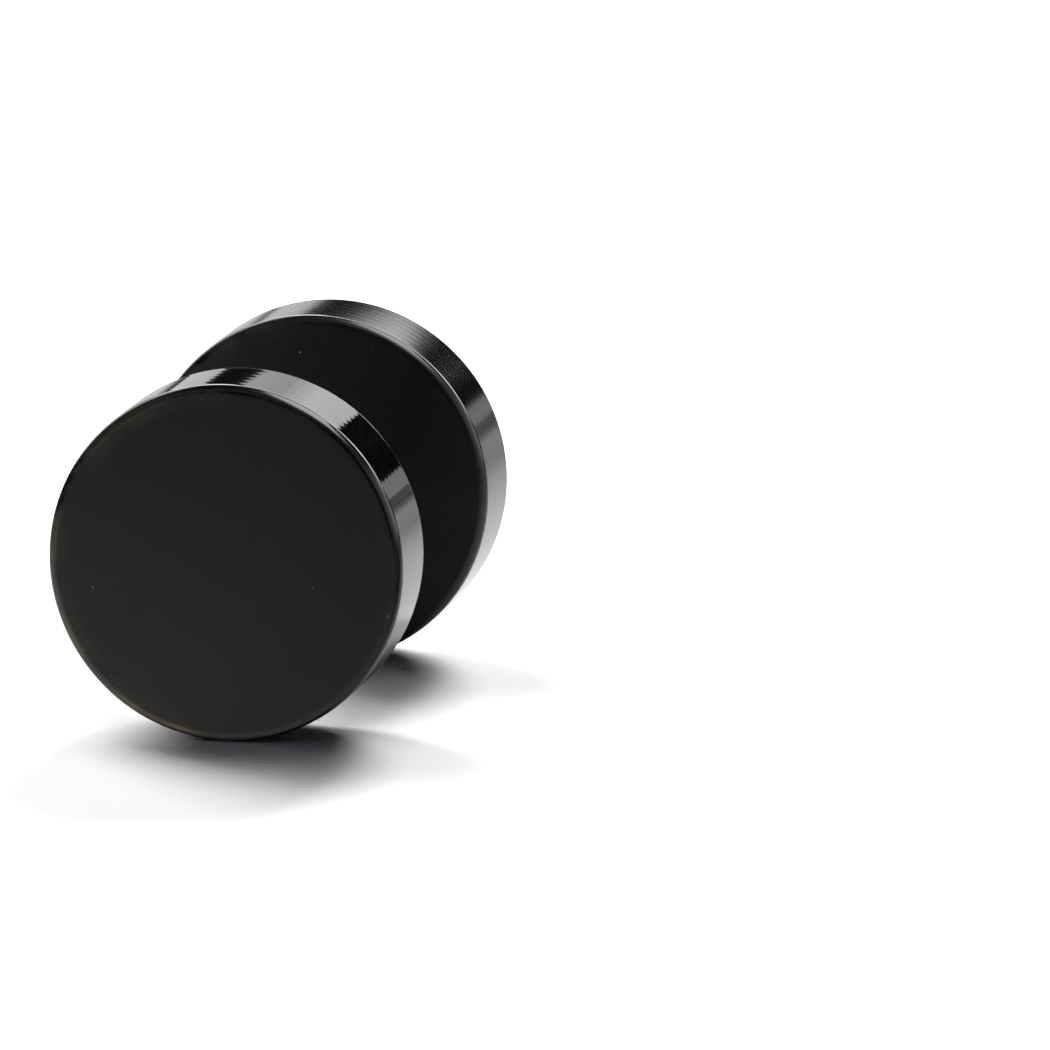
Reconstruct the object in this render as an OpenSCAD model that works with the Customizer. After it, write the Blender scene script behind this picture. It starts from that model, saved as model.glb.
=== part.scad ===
// Dumbbell ear stud: two equal round discs on one straight post.
// It lies on the rims of both discs. The post runs along +Y, the front disc faces -Y,
// and the origin is on the surface under the middle of the post. Millimetres.

/* [Discs] */
// Diameter of each disc
disc_d = 8; // [6:0.5:14]
// Thickness of each disc, from face to face
disc_t = 2.4; // [2:0.1:4]
// Radius of the rounding where a face meets the rim
edge_r = 0.2; // [0.1:0.05:0.4]

/* [Post] */
// Diameter of the post where the ear lobe sits, 16 gauge
post_d = 1.2; // [1.2:0.1:1.6]
// Clear length of the post between the discs
lobe_gap = 6.4; // [5:0.1:10]
// Diameter of both ends of the post, which are set into the discs
end_d = 0.8; // [0.6:0.05:0.8]
// Length of each end inside its disc
end_len = 1.6; // [1:0.1:1.7]
// Bevel round the tip of each end
tip_bevel = 0.15; // [0.05:0.05:0.25]

/* [Fits] */
// Radial clearance round the end that is fixed in the front disc
fixed_clearance = 0.02; // [0.01:0.01:0.05]
// Radial clearance round the end that comes out of the back disc
free_clearance = 0.04; // [0.01:0.01:0.05]
// Space between a tip and the floor of its hole
tip_space = 0.1; // [0.05:0.05:0.2]
// Bevel round the mouth of the hole in the back disc, inside the post's shoulder
mouth_bevel = 0.05; // [0.01:0.01:0.05]

/* [Hidden] */
$fn = 96;

// Small overshoot that keeps a cut open at its mouth
cut = 0.05;
// Height of the post's axis when both discs stand on their rims
axis_z = disc_d / 2;
// Where the discs' inner and outer faces lie along the post
inner_y = lobe_gap / 2;
outer_y = inner_y + disc_t;
hole_depth = end_len + tip_space;

// Turns a shape that stands on +Z so that it points along +Y from the given place
module along_post(y) {
    translate([0, y, axis_z])
        rotate([-90, 0, 0])
            children();
}

// Half section of a disc, with a true arc at both corners of the rim
module disc_section() {
    flat_r = disc_d / 2 - edge_r;
    square([flat_r, disc_t]);
    translate([0, edge_r])
        square([disc_d / 2, disc_t - 2 * edge_r]);
    for (corner_z = [edge_r, disc_t - edge_r])
        translate([flat_r, corner_z])
            circle(r = edge_r);
}

module disc_blank() {
    rotate_extrude()
        disc_section();
}

// Blind hole that opens at z = 0 and goes down into +Z
module blind_hole(radius) {
    translate([0, 0, -cut])
        cylinder(r = radius, h = hole_depth + cut);
}

// Half section of the post: the lobe length between two thinner, bevelled ends
module post_section() {
    end_r = end_d / 2;
    tip_r = end_r - tip_bevel;
    lobe_r = post_d / 2;
    polygon([
        [0, -end_len],
        [tip_r, -end_len],
        [end_r, -end_len + tip_bevel],
        [end_r, 0],
        [lobe_r, 0],
        [lobe_r, lobe_gap],
        [end_r, lobe_gap],
        [end_r, lobe_gap + end_len - tip_bevel],
        [tip_r, lobe_gap + end_len],
        [0, lobe_gap + end_len]
    ]);
}

module front_disc() {
    color("#1c1c1d")
        along_post(-outer_y)
            difference() {
                disc_blank();
                translate([0, 0, disc_t])
                    mirror([0, 0, 1])
                        blind_hole(end_d / 2 + fixed_clearance);
            }
}

module post() {
    color("#222224")
        along_post(-inner_y)
            rotate_extrude()
                post_section();
}

module back_disc() {
    bore_r = end_d / 2 + free_clearance;
    color("#1c1c1d")
        along_post(inner_y)
            difference() {
                disc_blank();
                blind_hole(bore_r);
                translate([0, 0, -cut])
                    cylinder(r1 = bore_r + mouth_bevel + cut, r2 = bore_r, h = mouth_bevel + cut);
            }
}

front_disc();
post();
back_disc();
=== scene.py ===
"""Dresses a black dumbbell ear stud: satin faces, soft edges, polished rims and a plain post."""

import logging
import math
from collections.abc import Callable, Sequence
from dataclasses import dataclass, replace
from enum import Enum

import bmesh
import bpy
from mathutils import Matrix, Vector


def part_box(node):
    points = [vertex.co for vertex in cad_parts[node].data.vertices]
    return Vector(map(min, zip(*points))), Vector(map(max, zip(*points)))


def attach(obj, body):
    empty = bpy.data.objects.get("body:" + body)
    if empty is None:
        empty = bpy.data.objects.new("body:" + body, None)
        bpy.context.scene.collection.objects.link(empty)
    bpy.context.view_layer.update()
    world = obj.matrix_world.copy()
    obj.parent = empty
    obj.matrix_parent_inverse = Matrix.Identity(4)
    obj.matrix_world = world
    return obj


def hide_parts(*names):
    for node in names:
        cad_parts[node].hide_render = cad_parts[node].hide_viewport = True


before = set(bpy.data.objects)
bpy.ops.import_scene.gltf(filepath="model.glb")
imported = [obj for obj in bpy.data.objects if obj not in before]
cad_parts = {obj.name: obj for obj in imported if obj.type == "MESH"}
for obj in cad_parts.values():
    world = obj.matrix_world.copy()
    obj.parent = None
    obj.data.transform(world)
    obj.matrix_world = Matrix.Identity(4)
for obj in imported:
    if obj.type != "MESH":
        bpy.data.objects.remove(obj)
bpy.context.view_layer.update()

MM = 0.001
NEAR = 0.002 * MM
# A normal's share along an axis that it points straight along
SQUARE_ON = 0.999

Colour = tuple[float, float, float]
FaceTest = Callable[[Vector, Vector], bool]
Tree = bpy.types.NodeTree
Socket = bpy.types.NodeSocket
Term = Socket | float
Pair = tuple[float, float]

log = logging.getLogger("stud")


class Zone(Enum):
    """The surfaces of a disc that have a finish of their own, by their place in its list."""

    OUTSIDE = 0
    HOLE = 1


class Facing(Enum):
    """The way that a disc's outer face looks along the post."""

    FRONT = -1
    BACK = 1


class Reach(Enum):
    """What a soft light shows on."""

    ALL = "all"
    MATT = "matt"
    GLOSS = "gloss"


# Modelling helpers


def select_only(piece: bpy.types.Object) -> None:
    """Deselects everything, then selects one object and makes it active.

    Args:
        piece: the object that the next operators act on.
    """
    bpy.ops.object.select_all(action="DESELECT")
    piece.select_set(True)
    bpy.context.view_layer.objects.active = piece


def pick_faces(piece: bpy.types.Object, wanted: FaceTest) -> None:
    """Selects the faces of a piece in edit mode by their middle and normal.

    Args:
        piece: the object that is in edit mode.
        wanted: says from a face's middle and normal whether it is selected.
    """
    bpy.ops.mesh.select_mode(type="FACE")
    bpy.ops.mesh.select_all(action="DESELECT")
    mesh = bmesh.from_edit_mesh(piece.data)
    for face in mesh.faces:
        if wanted(face.calc_center_median(), face.normal):
            face.select_set(True)
    bmesh.update_edit_mesh(piece.data)


def pick_rings(
    piece: bpy.types.Object, places: Sequence[float], radius: float, axis_z: float
) -> None:
    """Selects the rings of edges that lie round the post's axis at given places.

    Args:
        piece: the object that is in edit mode.
        places: where the rings lie on the Y axis.
        radius: the rings' radius about the axis.
        axis_z: the height of the axis.
    """
    bpy.ops.mesh.select_mode(type="EDGE")
    bpy.ops.mesh.select_all(action="DESELECT")
    mesh = bmesh.from_edit_mesh(piece.data)
    for edge in mesh.edges:
        start, end = (corner.co for corner in edge.verts)
        at_radius = all(abs(math.hypot(p.x, p.z - axis_z) - radius) < NEAR for p in (start, end))
        at_place = any(abs(start.y - y) < NEAR and abs(end.y - y) < NEAR for y in places)
        if at_radius and at_place:
            edge.select_set(True)
    bmesh.update_edit_mesh(piece.data)


def add_rod(
    name: str, radius: float, span: Pair, axis_z: float, sides: int
) -> bpy.types.Object:
    """Adds a round rod along +Y with its place in its mesh, and leaves it in edit mode.

    Args:
        name: the new piece's name.
        radius: the rod's radius.
        span: where the rod starts and ends on the Y axis.
        axis_z: the height of the rod's axis.
        sides: the number of sides.

    Returns:
        The new object, in edit mode with nothing selected.
    """
    bpy.ops.object.select_all(action="DESELECT")
    bpy.ops.mesh.primitive_cylinder_add(
        vertices=sides,
        radius=radius,
        depth=span[1] - span[0],
        location=(0.0, sum(span) / 2, axis_z),
        rotation=(math.radians(-90.0), 0.0, 0.0),
    )
    piece = bpy.context.object
    piece.name = piece.data.name = name
    bpy.ops.object.transform_apply(location=True, rotation=True, scale=True)
    bpy.ops.object.mode_set(mode="EDIT")
    bpy.ops.mesh.select_all(action="DESELECT")
    return piece


def push_along(distance: float) -> None:
    """Extrudes the selected faces along the Y axis.

    Args:
        distance: how far they move.
    """
    bpy.ops.mesh.extrude_region_move(TRANSFORM_OT_translate={"value": (0.0, distance, 0.0)})


def bevel_rings(width: float, steps: int) -> None:
    """Bevels the selected edges, and marks the new faces as weaker than the broad ones beside them.

    Args:
        width: the bevel's width, or the radius of a rounding.
        steps: 1 for a bevel, more for a rounding.
    """
    bpy.ops.mesh.bevel(
        offset=width,
        segments=steps,
        affect="EDGES",
        clamp_overlap=False,
        face_strength_mode="AFFECTED",
    )


def smooth_shading(piece: bpy.types.Object, sharp_angle: float = 30.0) -> None:
    """Smooths a piece, and lets its broad faces set the normals of the roundings beside them.

    Args:
        piece: the object, in object mode.
        sharp_angle: edges over this angle, in degrees, stay sharp.
    """
    select_only(piece)
    bpy.ops.object.shade_smooth_by_angle(angle=math.radians(sharp_angle))
    modifier = piece.modifiers.new("broad_faces_lead", "WEIGHTED_NORMAL")
    modifier.mode = "CORNER_ANGLE"
    modifier.keep_sharp = True
    modifier.use_face_influence = True
    bpy.ops.object.modifier_apply(modifier=modifier.name)


# Shader helpers


# The colour sockets of a Mix node, by their number
FIRST_COLOUR = 6
SECOND_COLOUR = 7
MIXED_COLOUR = 2

# What a noise from 0 to 1 comes to on average
NOISE_MIDDLE = 0.5


class Nodes:
    """Adds and joins the nodes of one shader tree."""

    def __init__(self, tree: Tree) -> None:
        """Takes the tree and empties it.

        Args:
            tree: the tree that the nodes go into.
        """
        self.tree = tree
        tree.nodes.clear()

    def add(
        self, kind: str, values: dict[str | int, object] | None = None, **settings: object
    ) -> bpy.types.Node:
        """Adds a node.

        Args:
            kind: the node's type without its ShaderNode prefix, or a whole type name.
            values: input socket name or number to its value, or to the output that feeds it.
            settings: the node's own properties.

        Returns:
            The new node.
        """
        whole = kind if kind.startswith("Node") else "ShaderNode" + kind
        node = self.tree.nodes.new(whole)
        for key, value in settings.items():
            setattr(node, key, value)
        for key, value in (values or {}).items():
            self.feed(node.inputs[key], value)
        return node

    def feed(self, socket: Socket, value: object) -> None:
        """Sets an input to a value, or links it to an output.

        Args:
            socket: the input.
            value: a number, a vector, a colour or an output.
        """
        if isinstance(value, bpy.types.NodeSocket):
            self.tree.links.new(value, socket)
        else:
            socket.default_value = value

    def maths(self, operation: str, *terms: Term) -> Socket:
        """Adds a Math node.

        Args:
            operation: the node's operation.
            terms: its inputs in order, each a number or an output.

        Returns:
            The result's output.
        """
        return self.add("Math", dict(enumerate(terms)), operation=operation).outputs[0]

    def ramp(
        self, value: Socket, start: float, end: float, low: Term = 0.0, high: Term = 1.0
    ) -> Socket:
        """Adds a Map Range node with a smooth step.

        Args:
            value: the output that is mapped.
            start: where the step begins.
            end: where the step ends.
            low: the result before the step.
            high: the result after the step.

        Returns:
            The result's output.
        """
        return self.add("MapRange", {
            "Value": value,
            "From Min": start,
            "From Max": end,
            "To Min": low,
            "To Max": high,
        }, interpolation_type="SMOOTHSTEP").outputs[0]

    def between(self, share: Socket, first: Term, second: Term) -> Socket:
        """Goes evenly from one value to another as a share rises from 0 to 1.

        Args:
            share: the share.
            first: the value at 0.
            second: the value at 1.

        Returns:
            The result's output.
        """
        values = {"Value": share, "To Min": first, "To Max": second}
        return self.add("MapRange", values).outputs[0]

    def blend(self, share: Socket, first: Colour | Socket, second: Colour | Socket) -> Socket:
        """Mixes two colours.

        Args:
            share: how much of the second colour shows.
            first: a colour or an output.
            second: a colour or an output.

        Returns:
            The mixed colour's output.
        """
        node = self.add("Mix", {"Factor": share}, data_type="RGBA")
        for number, colour in ((FIRST_COLOUR, first), (SECOND_COLOUR, second)):
            is_plain = isinstance(colour, tuple)
            self.feed(node.inputs[number], (*colour, 1.0) if is_plain else colour)
        return node.outputs[MIXED_COLOUR]


def new_group(
    name: str, inputs: dict[str, float | None], outputs: Sequence[str]
) -> tuple[Nodes, Sequence[Socket]]:
    """Starts a shader node group.

    Args:
        name: the group's name.
        inputs: input name to its usual value, or None for a vector.
        outputs: the names of the value outputs.

    Returns:
        The group's nodes, and the outputs of its input node.
    """
    group = bpy.data.node_groups.new(name, "ShaderNodeTree")
    for label, usual in inputs.items():
        kind = "NodeSocketVector" if usual is None else "NodeSocketFloat"
        socket = group.interface.new_socket(name=label, in_out="INPUT", socket_type=kind)
        if usual is not None:
            socket.default_value = usual
    for label in outputs:
        group.interface.new_socket(name=label, in_out="OUTPUT", socket_type="NodeSocketFloat")
    nodes = Nodes(group)
    return nodes, nodes.add("NodeGroupInput").outputs


def black(value: float, warmth: float = 0.0) -> Colour:
    """A near black.

    Args:
        value: its brightness.
        warmth: how much red is added and blue taken away, as a share.

    Returns:
        The colour.
    """
    return (value * (1 + warmth), value, value * (1 - warmth))


def distance_from_axis(nodes: Nodes, place: Socket) -> Socket:
    """Works out how far a place is from the post's axis.

    Args:
        nodes: the nodes that the sum is added to.
        place: a place, centred on the axis.

    Returns:
        The distance's output.
    """
    flat = nodes.add("VectorMath", {0: place, 1: (1.0, 0.0, 1.0)}, operation="MULTIPLY").outputs[0]
    return nodes.add("VectorMath", {0: flat}, operation="LENGTH").outputs["Value"]


class TurningMarks:
    """Fine rings left by turning and polishing, as a height over a round surface."""

    @staticmethod
    def build() -> Tree:
        """Builds the group.

        Returns:
            A group from a place in millimetres to a height in millimetres.
        """
        usual = {"Place": None, "Rings per mm": 4.0, "Drift per mm": 0.25, "Depth": 0.001}
        nodes, given = new_group("turning_marks", usual, ["Height"])
        rings, drift = given["Rings per mm"], given["Drift per mm"]
        reach = distance_from_axis(nodes, given["Place"])
        stretch = nodes.add("CombineXYZ", {"X": drift, "Y": rings, "Z": drift}).outputs[0]
        place = nodes.add("VectorMath", {0: given["Place"], 1: stretch}, operation="MULTIPLY").outputs[0]
        noise = nodes.add("TexNoise", {
            "Vector": place,
            "W": nodes.maths("MULTIPLY", reach, rings),
            "Scale": 1.0,
            "Detail": 1.0,
            "Roughness": 0.5,
        }, noise_dimensions="4D").outputs[0]
        height = nodes.maths("MULTIPLY", nodes.maths("SUBTRACT", noise, NOISE_MIDDLE), given["Depth"])
        nodes.add("NodeGroupOutput", {"Height": height})
        return nodes.tree


class RimRings:
    """The even rings that polishing left round the rim, as a height over it."""

    @staticmethod
    def build() -> Tree:
        """Builds the group.

        Returns:
            A group from a place in millimetres to a height in millimetres.
        """
        usual = {"Place": None, "Rings per mm": 3.0, "Drift per mm": 0.4, "Waver": 4.0, "Depth": 0.0004}
        nodes, given = new_group("rim_rings", usual, ["Height"])
        along = nodes.add("SeparateXYZ", {0: given["Place"]}).outputs["Y"]
        waver = nodes.add("TexNoise", {
            "Vector": given["Place"],
            "Scale": given["Drift per mm"],
            "Detail": 3.0,
        }).outputs[0]
        count = nodes.maths("MULTIPLY", along, given["Rings per mm"])
        turns = nodes.maths("MULTIPLY", count, math.tau)
        shift = nodes.maths("MULTIPLY", waver, given["Waver"])
        wave = nodes.maths("SINE", nodes.maths("ADD", turns, shift))
        nodes.add("NodeGroupOutput", {"Height": nodes.maths("MULTIPLY", wave, given["Depth"])})
        return nodes.tree


class Grain:
    """The grain and faint clouds of a coating."""

    @staticmethod
    def build() -> Tree:
        """Builds the group.

        Returns:
            A group from a place in millimetres to a shade from 0 to 1, a cloud mask and a height
            in millimetres.
        """
        usual = {"Place": None, "Grains per mm": 25.0, "Clouds per mm": 0.6, "Depth": 0.001}
        nodes, given = new_group("coating_grain", usual, ["Shade", "Cloud", "Height"])
        shade = nodes.add("TexNoise", {
            "Vector": given["Place"],
            "Scale": given["Grains per mm"],
            "Detail": 2.0,
            "Roughness": 0.6,
        }).outputs[0]
        cloud = nodes.add("TexNoise", {
            "Vector": given["Place"],
            "Scale": given["Clouds per mm"],
            "Detail": 3.0,
        }).outputs[0]
        height = nodes.maths("MULTIPLY", nodes.maths("SUBTRACT", shade, NOISE_MIDDLE), given["Depth"])
        nodes.add("NodeGroupOutput", {"Shade": shade, "Cloud": cloud, "Height": height})
        return nodes.tree


class Specks:
    """Sparse round specks of different sizes, for dust and for pits."""

    # The smallest speck, and the core of a speck where its mask is whole, as shares of the radius
    SMALLEST = 0.5
    CORE = 0.3

    @classmethod
    def build(cls) -> Tree:
        """Builds the group.

        Returns:
            A group from a place in millimetres to a mask that rises to 1 in the middle of a speck.
        """
        usual = {"Place": None, "Cells per mm": 3.0, "Radius": 0.03, "Share": 0.1}
        nodes, given = new_group("sparse_specks", usual, ["Mask"])
        cells = given["Cells per mm"]
        voronoi = nodes.add("TexVoronoi", {"Vector": given["Place"], "Scale": cells}, feature="F1")
        spots = voronoi.outputs
        draws = nodes.add("SeparateColor", {"Color": spots["Color"]}).outputs
        scale = nodes.ramp(draws["Green"], 0.0, 1.0, cls.SMALLEST, 1.0)
        size = nodes.maths("MULTIPLY", given["Radius"], scale)
        away = nodes.maths("DIVIDE", spots["Distance"], nodes.maths("MULTIPLY", size, cells))
        kept = nodes.maths("LESS_THAN", draws["Red"], given["Share"])
        mask = nodes.maths("MULTIPLY", nodes.ramp(away, cls.CORE, 1.0, 1.0, 0.0), kept)
        nodes.add("NodeGroupOutput", {"Mask": mask})
        return nodes.tree


class DiscZones:
    """The masks that tell a disc's faces, roundings and rim apart, by the distance from the axis."""

    # Where each mask steps up, in millimetres outward from the flat's edge
    RUBBED = (-0.06, 0.08)
    PAINTED_SHEEN_HALO = (-0.4, 0.0)
    BAND = (-0.03, 0.05)
    # Where each mask steps, in millimetres inward from the rim
    POLISHED = (0.004, 0.04)
    BAND_END = (0.05, 0.12)
    # The faint painted warm sheen inside the band, reaching into the face, as a share of the band's
    PAINTED_SHEEN_HALO_SHARE = 0.15
    # How far round to the left the wear and painted warm sheen start and are whole, as a cosine, and
    # what is left elsewhere
    PAINTED_SHEEN_SIDE = (-0.1, 0.3)
    PAINTED_SHEEN_SIDE_LEAST = 0.1
    # The part of the clouds that wears through
    CLOUDS = (0.36, 0.64)

    @classmethod
    def build(cls) -> Tree:
        """Builds the group.

        Returns:
            A group from a place and the two radii in millimetres to the masks of the rubbed
            rounding, of the polished rim, and of the wear and painted warm sheen where a face meets
            its rounding, the sheen held mostly to the left.
        """
        usual = {"Place": None, "Flat": 3.8, "Rim": 4.0, "Wear Clouds per mm": 0.5}
        nodes, given = new_group("disc_zones", usual, ["Rubbed", "Polished", "Wear_And_Sheen"])
        reach = distance_from_axis(nodes, given["Place"])
        past_flat = nodes.maths("SUBTRACT", reach, given["Flat"])
        from_rim = nodes.maths("SUBTRACT", given["Rim"], reach)
        rubbed = nodes.ramp(past_flat, *cls.RUBBED)
        polished = nodes.ramp(from_rim, *cls.POLISHED, 1.0, 0.0)
        clouds = nodes.add("TexNoise", {
            "Vector": given["Place"],
            "Scale": given["Wear Clouds per mm"],
            "Detail": 4.0,
            "Roughness": 0.6,
        }).outputs[0]
        # Painted warm sheen: a faint warm tint that fades into the face before the worn band
        painted_sheen_halo = nodes.ramp(past_flat, *cls.PAINTED_SHEEN_HALO, 0.0, cls.PAINTED_SHEEN_HALO_SHARE)
        band_start = nodes.ramp(past_flat, *cls.BAND, painted_sheen_halo)
        band = nodes.maths("MULTIPLY", band_start, nodes.ramp(from_rim, *cls.BAND_END))
        # Painted sheen on one side: the wear is kept mostly on the left, where it stands for a warm
        # reflection
        to_left = {0: given["Place"], 1: (-1.0, 0.0, 0.0)}
        leftward = nodes.add("VectorMath", to_left, operation="DOT_PRODUCT").outputs["Value"]
        painted_left_sheen = nodes.ramp(nodes.maths("DIVIDE", leftward, reach), *cls.PAINTED_SHEEN_SIDE, cls.PAINTED_SHEEN_SIDE_LEAST, 1.0)
        patches = nodes.maths("MULTIPLY", nodes.ramp(clouds, *cls.CLOUDS), painted_left_sheen)
        wear_and_sheen = nodes.maths("MULTIPLY", band, patches)
        nodes.add("NodeGroupOutput", {"Rubbed": rubbed, "Polished": polished, "Wear_And_Sheen": wear_and_sheen})
        return nodes.tree


@dataclass(frozen=True)
class Groups:
    """The shader groups that the finishes share."""

    marks: Tree
    rings: Tree
    grain: Tree
    specks: Tree
    zones: Tree

    @classmethod
    def build(cls) -> "Groups":
        """Builds each group once."""
        makers = (TurningMarks, RimRings, Grain, Specks, DiscZones)
        return cls(*(maker.build() for maker in makers))


@dataclass(frozen=True)
class Finish:
    """What all finishes of the black coating have in common."""

    name: str
    colour: Colour
    cloud_colour: Colour
    index: float = 1.5
    shine: float = 0.5

    def start(self, axis_z: float) -> tuple[bpy.types.Material, Nodes, Socket]:
        """Makes the empty material.

        Args:
            axis_z: the height of the post's axis, which every pattern is centred on.

        Returns:
            The material, its nodes, and the place on the piece in millimetres from the axis.
        """
        material = bpy.data.materials.new(self.name)
        material.use_nodes = True
        nodes = Nodes(material.node_tree)
        per_metre = 1.0 / MM
        place = nodes.add("Mapping", {
            "Vector": nodes.add("TexCoord").outputs["Object"],
            "Location": (0.0, 0.0, -axis_z * per_metre),
            "Scale": (per_metre, per_metre, per_metre),
        }).outputs[0]
        return material, nodes, place

    def close(
        self, nodes: Nodes, colour: Socket, roughness: Socket, height: Socket, metal: Term = 0.0
    ) -> None:
        """Adds the shader and the material's output.

        Args:
            nodes: the material's nodes.
            colour: the base colour.
            roughness: the roughness.
            height: the height over the surface in millimetres.
            metal: how far the metal under the coating shows, worn through or as a painted warm sheen.
        """
        normal = nodes.add("Bump", {"Strength": 1.0, "Distance": MM, "Height": height}).outputs[0]
        shader = nodes.add("BsdfPrincipled", {
            "Base Color": colour,
            "Metallic": metal,
            "Roughness": roughness,
            "Normal": normal,
            "IOR": self.index,
            "Specular IOR Level": self.shine,
        })
        nodes.add("OutputMaterial", {"Surface": shader.outputs[0]})


@dataclass(frozen=True)
class DiscCoating(Finish):
    """Satin on the faces, rubbed smoother on the roundings and polished on the rim."""

    # The bare metal on the roundings is wear and also a painted warm sheen: its brown colour stands for
    # a warm reflection
    bare_and_sheen_colour: Colour = (0.42, 0.36, 0.29)
    bare_and_sheen_share: float = 0.3
    bare_and_sheen_roughness: float = 0.48
    dust_colour: Colour = (0.5, 0.49, 0.46)
    face_roughness: float = 0.5
    edge_roughness: float = 0.22
    rim_roughness: float = 0.045
    face_grain: float = 0.12
    grain_depth: float = 0.0006
    rim_depth: float = 0.00018
    edge_rings: float = 26.0
    edge_depth: float = 0.0012
    pit_depth: float = 0.004

    def material(
        self, groups: Groups, axis_z: float, flat_radius: float, rim_radius: float
    ) -> bpy.types.Material:
        """Makes the finish's material.

        Args:
            groups: the shared shader groups.
            axis_z: the height of the post's axis.
            flat_radius: where the faces end and the roundings begin.
            rim_radius: the rim's radius.

        Returns:
            The material.
        """
        material, nodes, place = self.start(axis_z)
        radii = {"Place": place, "Flat": flat_radius / MM, "Rim": rim_radius / MM}
        zones = nodes.add("Group", radii, node_tree=groups.zones).outputs
        grained = {"Place": place, "Depth": self.grain_depth}
        grain = nodes.add("Group", grained, node_tree=groups.grain).outputs
        dust = nodes.add("Group", {"Place": place}, node_tree=groups.specks).outputs["Mask"]
        # Wear and painted warm sheen: brown metal shows on the worn band, mostly on the left
        bare_and_sheen = nodes.maths("MULTIPLY", zones["Wear_And_Sheen"], self.bare_and_sheen_share)
        colour = nodes.blend(grain["Cloud"], self.colour, self.cloud_colour)
        colour = nodes.blend(bare_and_sheen, colour, self.bare_and_sheen_colour)
        colour = nodes.blend(dust, colour, self.dust_colour)
        metal = nodes.ramp(bare_and_sheen, 0.0, self.bare_and_sheen_share)
        mottle = nodes.maths("MULTIPLY", nodes.maths("ADD", grain["Shade"], grain["Cloud"]), 0.5)
        coated = self.roughness(nodes, mottle, zones["Rubbed"], zones["Polished"])
        roughness = nodes.between(metal, coated, self.bare_and_sheen_roughness)
        height = self.height(nodes, groups, place, grain["Height"], zones["Rubbed"], zones["Polished"])
        self.close(nodes, colour, roughness, height, metal)
        return material

    def roughness(self, nodes: Nodes, shade: Socket, rubbed: Socket, polished: Socket) -> Socket:
        """Works out the roughness, from the satin face to the polished rim.

        Args:
            nodes: the material's nodes.
            shade: the mottling of the face, from 0 to 1.
            rubbed: the mask of the rubbed rounding and the rim.
            polished: the mask of the polished rim.

        Returns:
            The roughness.
        """
        low, high = self.face_roughness - self.face_grain, self.face_roughness + self.face_grain
        satin = nodes.ramp(shade, 0.0, 1.0, low, high)
        smooth = nodes.ramp(polished, 0.0, 1.0, self.edge_roughness, self.rim_roughness)
        return nodes.between(rubbed, satin, smooth)

    def height(
        self,
        nodes: Nodes,
        groups: Groups,
        place: Socket,
        grain: Socket,
        rubbed: Socket,
        polished: Socket,
    ) -> Socket:
        """Works out the height: grain and pits on a face, fine marks on a rounding, rings on the rim.

        Args:
            nodes: the material's nodes.
            groups: the shared shader groups.
            place: the place in millimetres.
            grain: the grain's height.
            rubbed: the mask of the rubbed rounding and the rim.
            polished: the mask of the polished rim.

        Returns:
            The height in millimetres.
        """
        pits = nodes.add("Group", {
            "Place": place,
            "Cells per mm": 1.6,
            "Radius": 0.07,
            "Share": 0.3,
        }, node_tree=groups.specks).outputs["Mask"]
        ringed = {"Place": place, "Depth": self.rim_depth}
        on_rim = nodes.add("Group", ringed, node_tree=groups.rings).outputs["Height"]
        on_edge = nodes.add("Group", {
            "Place": place,
            "Rings per mm": self.edge_rings,
            "Drift per mm": 1.0,
            "Depth": self.edge_depth,
        }, node_tree=groups.marks).outputs["Height"]
        on_face = nodes.maths("SUBTRACT", grain, nodes.maths("MULTIPLY", pits, self.pit_depth))
        return nodes.between(rubbed, on_face, nodes.between(polished, on_edge, on_rim))


@dataclass(frozen=True)
class TurnedCoating(Finish):
    """One even sheen with fine turning marks, on the post and in the holes."""

    roughness: float = 0.22
    roughness_range: float = 0.05
    mark_depth: float = 0.001

    def material(self, groups: Groups, axis_z: float) -> bpy.types.Material:
        """Makes the finish's material.

        Args:
            groups: the shared shader groups.
            axis_z: the height of the post's axis.

        Returns:
            The material.
        """
        material, nodes, place = self.start(axis_z)
        grain = nodes.add("Group", {"Place": place}, node_tree=groups.grain).outputs
        marked = {"Place": place, "Depth": self.mark_depth}
        marks = nodes.add("Group", marked, node_tree=groups.marks).outputs
        colour = nodes.blend(grain["Cloud"], self.colour, self.cloud_colour)
        low, high = self.roughness - self.roughness_range, self.roughness + self.roughness_range
        self.close(nodes, colour, nodes.ramp(grain["Shade"], 0.0, 1.0, low, high), marks["Height"])
        return material


DISC_COATING = DiscCoating(
    name="black_disc_coating",
    colour=black(0.0022, 0.06),
    cloud_colour=black(0.0036, 0.06),
)
# Painted shade: the back disc has the front disc's coating, but a darker, bluer black stands for the
# shade between the discs
SHADED_BACK_DISC_COATING = replace(
    DISC_COATING,
    name="black_back_disc_painted_shade_coating",
    colour=black(0.0012, -0.3),
    cloud_colour=black(0.002, -0.3),
    edge_roughness=0.32,
    rim_roughness=0.1,
    rim_depth=0.00012,
)
HOLE_COATING = TurnedCoating(
    name="black_hole_wall",
    colour=black(0.006),
    cloud_colour=black(0.008),
    roughness=0.4,
)
POST_COATING = TurnedCoating(
    name="black_post_coating",
    colour=black(0.004),
    cloud_colour=black(0.006),
)


# The earring


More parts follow.
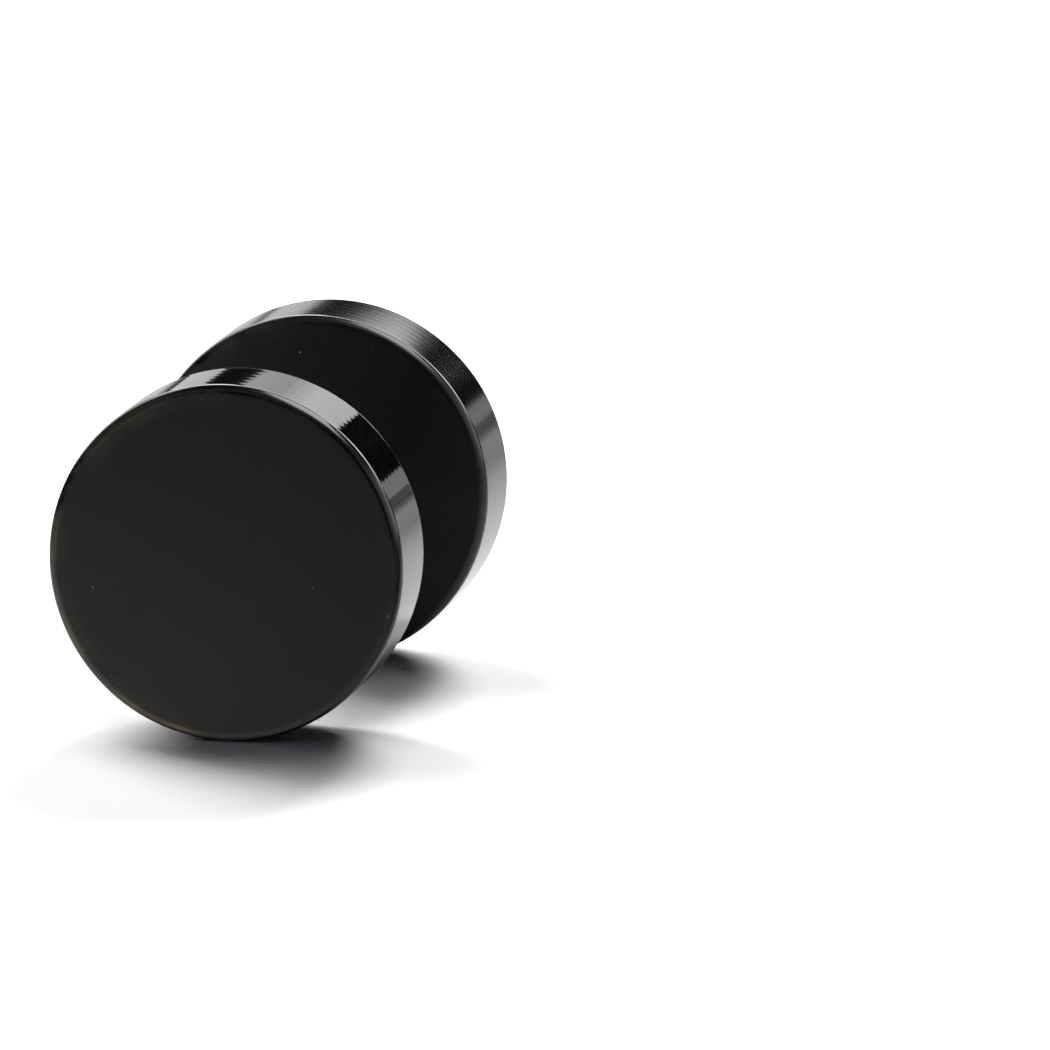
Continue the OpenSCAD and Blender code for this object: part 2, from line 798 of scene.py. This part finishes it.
@dataclass
class Disc:
    """One thick round disc with rounded edges and a blind hole for the post in its inner face."""

    node: str
    body: str
    facing: Facing
    hole_radius: float
    mouth_bevel: float = 0.0
    edge_radius: float = 0.2 * MM
    hole_depth: float = 1.7 * MM
    sides: int = 256
    edge_steps: int = 10

    def __post_init__(self) -> None:
        """Reads the disc's size and place from the frame."""
        low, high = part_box(self.node)
        self.radius = (high.x - low.x) / 2
        self.axis_z = (low.z + high.z) / 2
        self.span = (low.y, high.y)
        self.inner_y = high.y if self.facing is Facing.FRONT else low.y

    @property
    def flat_radius(self) -> float:
        """The radius where the flat of a face ends and its rounding begins."""
        return self.radius - self.edge_radius

    def is_near_axis(self, middle: Vector, reach: float) -> bool:
        """True where a face's middle lies within a reach of the post's axis."""
        return math.hypot(middle.x, middle.z - self.axis_z) < reach

    def build(self) -> bpy.types.Object:
        """Models the disc.

        Returns:
            The finished mesh object, at the origin.
        """
        piece = add_rod(f"{self.node}_turned", self.radius, self.span, self.axis_z, self.sides)
        self.round_edges(piece)
        self.drill(piece)
        bpy.ops.object.mode_set(mode="OBJECT")
        smooth_shading(piece)
        return piece

    def round_edges(self, piece: bpy.types.Object) -> None:
        """Rounds both edges of the rim.

        Args:
            piece: the disc, in edit mode.
        """
        pick_rings(piece, self.span, self.radius, self.axis_z)
        bevel_rings(self.edge_radius, self.edge_steps)

    def drill(self, piece: bpy.types.Object) -> None:
        """Sinks the blind hole for the post into the inner face.

        Args:
            piece: the disc, in edit mode.
        """
        mouth = self.hole_radius + self.mouth_bevel
        pick_faces(
            piece,
            lambda middle, normal: (
                abs(middle.y - self.inner_y) < NEAR and self.is_near_axis(middle, mouth)
            ),
        )
        bpy.ops.mesh.inset(thickness=self.flat_radius - mouth)
        if self.mouth_bevel:
            bpy.ops.mesh.inset(thickness=self.mouth_bevel, depth=-self.mouth_bevel)
        push_along(self.facing.value * (self.hole_depth - self.mouth_bevel))

    def zone(self, middle: Vector) -> Zone:
        """The zone of a face of the mesh.

        Args:
            middle: the face's middle.

        Returns:
            Its zone.
        """
        inside = self.span[0] + NEAR < middle.y < self.span[1] - NEAR
        in_hole = inside and self.is_near_axis(middle, self.hole_radius + self.mouth_bevel)
        return Zone.HOLE if in_hole else Zone.OUTSIDE

    def dress(self, piece: bpy.types.Object, finishes: dict[Zone, bpy.types.Material]) -> None:
        """Gives each zone its finish and joins the piece to the frame.

        Args:
            piece: the modelled disc.
            finishes: the material of each zone.
        """
        for zone in Zone:
            piece.data.materials.append(finishes[zone])
        for face in piece.data.polygons:
            face.material_index = self.zone(face.center).value
        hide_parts(self.node)
        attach(piece, self.body)


@dataclass
class Post:
    """The plain round post, with a thinner end inside each disc."""

    node: str = "post"
    body: str = "front"
    end_radius: float = 0.4 * MM
    end_length: float = 1.6 * MM
    tip_bevel: float = 0.15 * MM
    shoulder_bevel: float = 0.02 * MM
    shoulder_steps: int = 2
    sides: int = 96

    def __post_init__(self) -> None:
        """Reads the post's size and place from the frame."""
        low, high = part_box(self.node)
        self.radius = (high.x - low.x) / 2
        self.axis_z = (low.z + high.z) / 2
        self.shoulders = (low.y + self.end_length, high.y - self.end_length)

    def build(self) -> bpy.types.Object:
        """Models the post.

        Returns:
            The finished mesh object, at the origin.
        """
        piece = add_rod("post_turned", self.radius, self.shoulders, self.axis_z, self.sides)
        pick_rings(piece, self.shoulders, self.radius, self.axis_z)
        bevel_rings(self.shoulder_bevel, self.shoulder_steps)
        for way, shoulder in zip((-1.0, 1.0), self.shoulders):
            self.draw_end(piece, way, shoulder)
        bpy.ops.object.mode_set(mode="OBJECT")
        smooth_shading(piece)
        return piece

    def draw_end(self, piece: bpy.types.Object, way: float, shoulder: float) -> None:
        """Draws one thinner end out of the post and bevels its tip.

        Args:
            piece: the post, in edit mode.
            way: -1 for the end in the front disc, 1 for the end in the back disc.
            shoulder: where the end begins on the Y axis.
        """
        tip = shoulder + way * self.end_length
        pick_faces(
            piece,
            lambda middle, normal: normal.y * way > SQUARE_ON and abs(middle.y - shoulder) < NEAR,
        )
        bpy.ops.mesh.inset(thickness=self.radius - self.shoulder_bevel - self.end_radius)
        push_along(way * self.end_length)
        pick_rings(piece, (tip,), self.end_radius, self.axis_z)
        bevel_rings(self.tip_bevel, 1)

    def dress(self, piece: bpy.types.Object, finish: bpy.types.Material) -> None:
        """Gives the post its finish and joins it to the frame.

        Args:
            piece: the modelled post.
            finish: its material.
        """
        piece.data.materials.append(finish)
        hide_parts(self.node)
        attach(piece, self.body)


@dataclass
class Earring:
    """The whole stud: two discs on one post."""

    groups: Groups

    def build(self) -> list[bpy.types.Object]:
        """Models and dresses every piece.

        Returns:
            The finished pieces.
        """
        front = Disc("front_disc", "front", Facing.FRONT, hole_radius=0.42 * MM)
        back = Disc("back_disc", "back", Facing.BACK, hole_radius=0.44 * MM, mouth_bevel=0.05 * MM)
        hole = HOLE_COATING.material(self.groups, front.axis_z)
        pieces = []
        for disc, coating in ((front, DISC_COATING), (back, SHADED_BACK_DISC_COATING)):
            outside = coating.material(self.groups, disc.axis_z, disc.flat_radius, disc.radius)
            piece = disc.build()
            disc.dress(piece, {Zone.OUTSIDE: outside, Zone.HOLE: hole})
            pieces.append(piece)
        post = Post()
        rod = post.build()
        post.dress(rod, POST_COATING.material(self.groups, post.axis_z))
        return [*pieces, rod]


# The studio


UP = Vector((0.0, 0.0, 1.0))
BLACK: Colour = (0.0, 0.0, 0.0)
WHITE: Colour = (1.0, 1.0, 1.0)


@dataclass(frozen=True)
class Softbox:
    """A soft rectangular light that looks at the earring.

    Azimuth 0 is behind the earring and 90 on its right. Width and height are the angles that the
    light takes up, seen from the earring. Its reach says whether it shows on all surfaces, only on
    matt ones such as the floor, or only as a reflection.
    """

    name: str
    azimuth: float
    elevation: float
    width: float
    height: float
    radiance: float
    distance: float = 0.5
    colour: Colour = WHITE
    reach: Reach = Reach.ALL

    def add(self, target: Vector) -> None:
        """Adds the light.

        Args:
            target: the point that it looks at.
        """
        turn, rise = math.radians(self.azimuth), math.radians(self.elevation)
        level = math.cos(rise)
        away = Vector((math.sin(turn) * level, math.cos(turn) * level, math.sin(rise)))
        right = away.cross(UP).normalized()
        lamp = bpy.data.lights.new(self.name, "AREA")
        lamp.shape = "RECTANGLE"
        lamp.size = 2 * self.distance * math.tan(math.radians(self.width) / 2)
        lamp.size_y = 2 * self.distance * math.tan(math.radians(self.height) / 2)
        lamp.energy = self.radiance * math.pi * lamp.size * lamp.size_y
        lamp.color = self.colour
        holder = bpy.data.objects.new(self.name, lamp)
        holder.location = target + away * self.distance
        holder.rotation_euler = Matrix((right, away.cross(right), away)).transposed().to_euler()
        holder.visible_camera = False
        holder.visible_diffuse = self.reach is not Reach.GLOSS
        holder.visible_glossy = self.reach is not Reach.MATT
        bpy.context.scene.collection.objects.link(holder)


@dataclass(frozen=True)
class Strip:
    """A long low light close behind the stud that brightens to the right, as a row of narrow boxes."""

    elevation: float = 20.7
    height: float = 5.4
    distance: float = 54.5 * MM
    ends: Pair = (-18.0, 11.8)
    change: Pair = (-4.0, 3.0)
    radiances: Pair = (0.98, 1.8)
    count: int = 18

    def boxes(self) -> list[Softbox]:
        """Works out the boxes of the row.

        Returns:
            The boxes, from left to right.
        """
        step = (self.ends[1] - self.ends[0]) / self.count
        width = step * math.cos(math.radians(self.elevation))
        dim, bright = self.radiances
        start, end = self.change
        row = []
        for number in range(self.count):
            azimuth = self.ends[0] + (number + 0.5) * step
            share = min(max((azimuth - start) / (end - start), 0.0), 1.0)
            row.append(Softbox(
                name=f"strip_{number}",
                azimuth=azimuth,
                elevation=self.elevation,
                width=width,
                height=self.height,
                radiance=dim + share * (bright - dim),
                distance=self.distance,
                reach=Reach.GLOSS,
            ))
        return row


@dataclass(frozen=True)
class Camera:
    """A long lens that looks down on the stud, which lies left of the picture's middle."""

    azimuth: float = 12.05
    elevation: float = 11.16
    lens: float = 429.8
    sensor: float = 36.0
    depth: float = 275.57 * MM
    stud_left: float = 6.620 * MM
    stud_below: float = 0.871 * MM
    clip: Pair = (0.01, 10.0)

    def add(self, face_middle: Vector) -> None:
        """Adds the camera and makes it the scene's.

        Args:
            face_middle: the middle of the front disc's outer face.
        """
        turn, rise = math.radians(self.azimuth), math.radians(self.elevation)
        level = math.cos(rise)
        ahead = Vector((-math.sin(turn) * level, math.cos(turn) * level, -math.sin(rise)))
        right = ahead.cross(UP).normalized()
        up = right.cross(ahead)
        data = bpy.data.cameras.new("camera")
        data.sensor_width, data.lens = self.sensor, self.lens
        data.clip_start, data.clip_end = self.clip
        camera = bpy.data.objects.new("camera", data)
        aside = right * self.stud_left + up * self.stud_below
        camera.location = face_middle + aside - ahead * self.depth
        camera.rotation_euler = Matrix((right, up, -ahead)).transposed().to_euler()
        bpy.context.scene.collection.objects.link(camera)
        bpy.context.scene.camera = camera


@dataclass
class Studio:
    """A pale floor, soft lights and the camera."""

    floor_half: float = 0.8
    floor_colour: Colour = (0.9, 0.9, 0.9)
    floor_mirrored: Colour = (0.59, 0.59, 0.6)
    floor_mirrored_far: Colour = (0.29, 0.29, 0.3)
    floor_mirrored_last: Colour = (0.085, 0.085, 0.088)
    shade_reach: Pair = (1.0 * MM, 3.6 * MM)
    far_reach: Pair = (12.0 * MM, 50.0 * MM)
    last_reach: Pair = (90.0 * MM, 260.0 * MM)
    glow_colour: Colour = (1.27, 1.25, 1.16)
    glow_far_colour: Colour = (0.05, 0.056, 0.075)
    glow_middle: tuple[float, float, float] = (-16.0 * MM, -8.0 * MM, 0.0)
    glow_reach: float = 36.0 * MM
    glow_edge: Pair = (-5.75 * MM, -5.45 * MM)
    dark_room: Colour = (0.002, 0.002, 0.0022)
    boxes: tuple[Softbox, ...] = (
        Softbox("back_key", azimuth=3.0, elevation=32.5, width=16.0, height=24.0, radiance=43.0,
                reach=Reach.MATT),
        Softbox("left_key", azimuth=-46.5, elevation=37.0, width=25.5, height=54.0, radiance=13.0,
                reach=Reach.MATT),
        Softbox("right_fill", azimuth=52.0, elevation=70.0, width=20.5, height=14.0, radiance=4.3,
                reach=Reach.MATT),
        Softbox("horizon_left", azimuth=-25.8, elevation=8.0, width=28.5, height=7.4, radiance=0.96,
                distance=57.0 * MM, reach=Reach.GLOSS),
        Softbox("horizon_right", azimuth=16.0, elevation=3.2, width=10.0, height=3.4, radiance=0.62,
                reach=Reach.GLOSS),
        Softbox("horizon_dip", azimuth=16.0, elevation=0.65, width=12.0, height=1.9, radiance=0.22,
                reach=Reach.GLOSS),
        Softbox("rear_line", azimuth=0.0, elevation=4.5, width=10.0, height=6.0, radiance=5.0,
                colour=(1.0, 0.97, 0.86), reach=Reach.GLOSS),
        Softbox("back_sheen", azimuth=-2.0, elevation=30.0, width=34.0, height=22.0, radiance=2.6,
                reach=Reach.GLOSS),
        Softbox("left_sheen", azimuth=-22.0, elevation=27.0, width=18.0, height=14.0, radiance=6.0,
                reach=Reach.GLOSS),
        Softbox("far_left_sheen", azimuth=-50.0, elevation=30.0, width=26.0, height=40.0, radiance=3.0,
                reach=Reach.GLOSS),
        Softbox("right_line", azimuth=30.0, elevation=23.0, width=30.0, height=20.0, radiance=5.0,
                reach=Reach.GLOSS),
        Softbox("right_high", azimuth=78.0, elevation=68.0, width=58.0, height=28.0, radiance=8.0,
                reach=Reach.GLOSS),
        Softbox("right_sheen", azimuth=75.0, elevation=16.0, width=46.0, height=28.0, radiance=2.0,
                reach=Reach.GLOSS),
        Softbox("right_dim", azimuth=122.0, elevation=14.0, width=44.0, height=28.0, radiance=0.9,
                reach=Reach.GLOSS),
        Softbox("front_high", azimuth=207.0, elevation=50.0, width=66.0, height=20.0, radiance=0.3,
                colour=(0.75, 0.85, 1.0)),
    )

    def build(self, face_middle: Vector, middle: Vector) -> None:
        """Builds the studio.

        Args:
            face_middle: the middle of the front disc's outer face.
            middle: the middle of the earring.
        """
        self.add_floor()
        self.light_world()
        for box in (*self.boxes, *Strip().boxes()):
            box.add(middle)
        Camera().add(face_middle)
        bpy.context.scene.view_settings.view_transform = "Standard"

    def add_floor(self) -> None:
        """Adds the plain pale floor.

        Its colour in the earring's gloss is painted: painted shade close under the earring, pale
        round it, darker in two painted steps towards the horizon, and a painted glow before the front
        disc.
        """
        bpy.ops.object.select_all(action="DESELECT")
        bpy.ops.mesh.primitive_plane_add(size=2 * self.floor_half, location=(0.0, 0.0, 0.0))
        floor = bpy.context.object
        floor.name = floor.data.name = "floor"
        material = bpy.data.materials.new("pale_floor")
        material.use_nodes = True
        nodes = Nodes(material.node_tree)
        place = nodes.add("TexCoord").outputs["Object"]
        away = nodes.add("VectorMath", {0: place}, operation="LENGTH").outputs["Value"]
        far, last = nodes.ramp(away, *self.far_reach), nodes.ramp(away, *self.last_reach)
        in_gloss = nodes.add("LightPath").outputs["Is Glossy Ray"]
        depth = nodes.add("SeparateXYZ", {0: place}).outputs["Y"]
        in_front = nodes.maths("MULTIPLY", in_gloss, nodes.ramp(depth, *self.glow_edge, 1.0, 0.0))
        mirrored = nodes.blend(far, self.floor_mirrored, self.floor_mirrored_far)
        mirrored = nodes.blend(last, mirrored, self.floor_mirrored_last)
        # Painted shade under the earring, seen only in reflections
        mirrored = nodes.blend(nodes.ramp(away, *self.shade_reach), BLACK, mirrored)
        colour = nodes.blend(in_gloss, self.floor_colour, mirrored)
        to_glow = {0: place, 1: self.glow_middle}
        # Painted glow in front of the front disc, lit only in reflections
        from_glow = nodes.add("VectorMath", to_glow, operation="DISTANCE").outputs["Value"]
        faded = nodes.ramp(from_glow, 0.0, self.glow_reach)
        glow = nodes.blend(faded, self.glow_colour, self.glow_far_colour)
        shader = nodes.add("BsdfPrincipled", {
            "Base Color": nodes.blend(in_front, colour, BLACK),
            "Specular IOR Level": 0.0,
            "Emission Color": nodes.blend(in_front, BLACK, glow),
            "Emission Strength": 1.0,
        })
        nodes.add("OutputMaterial", {"Surface": shader.outputs[0]})
        floor.data.materials.append(material)

    def light_world(self) -> None:
        """Makes the surroundings white where they are seen and dark where they light or reflect."""
        world = bpy.data.worlds.new("studio")
        world.use_nodes = True
        bpy.context.scene.world = world
        nodes = Nodes(world.node_tree)
        seen = nodes.add("LightPath").outputs["Is Camera Ray"]
        colour = nodes.blend(seen, self.dark_room, WHITE)
        glow = nodes.add("Background", {"Color": colour, "Strength": 1.0})
        nodes.add("OutputWorld", {"Surface": glow.outputs[0]})


def main() -> None:
    """Builds the earring and the studio, and reports each piece."""
    logging.basicConfig(level=logging.INFO, format="%(name)s: %(message)s")
    for piece in Earring(Groups.build()).build():
        log.info("%s: %d faces", piece.name, len(piece.data.polygons))
    low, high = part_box("front_disc")
    axis_z = (low.z + high.z) / 2
    Studio().build(Vector((0.0, low.y, axis_z)), Vector((0.0, 0.0, axis_z)))


if __name__ == "__main__":
    main()
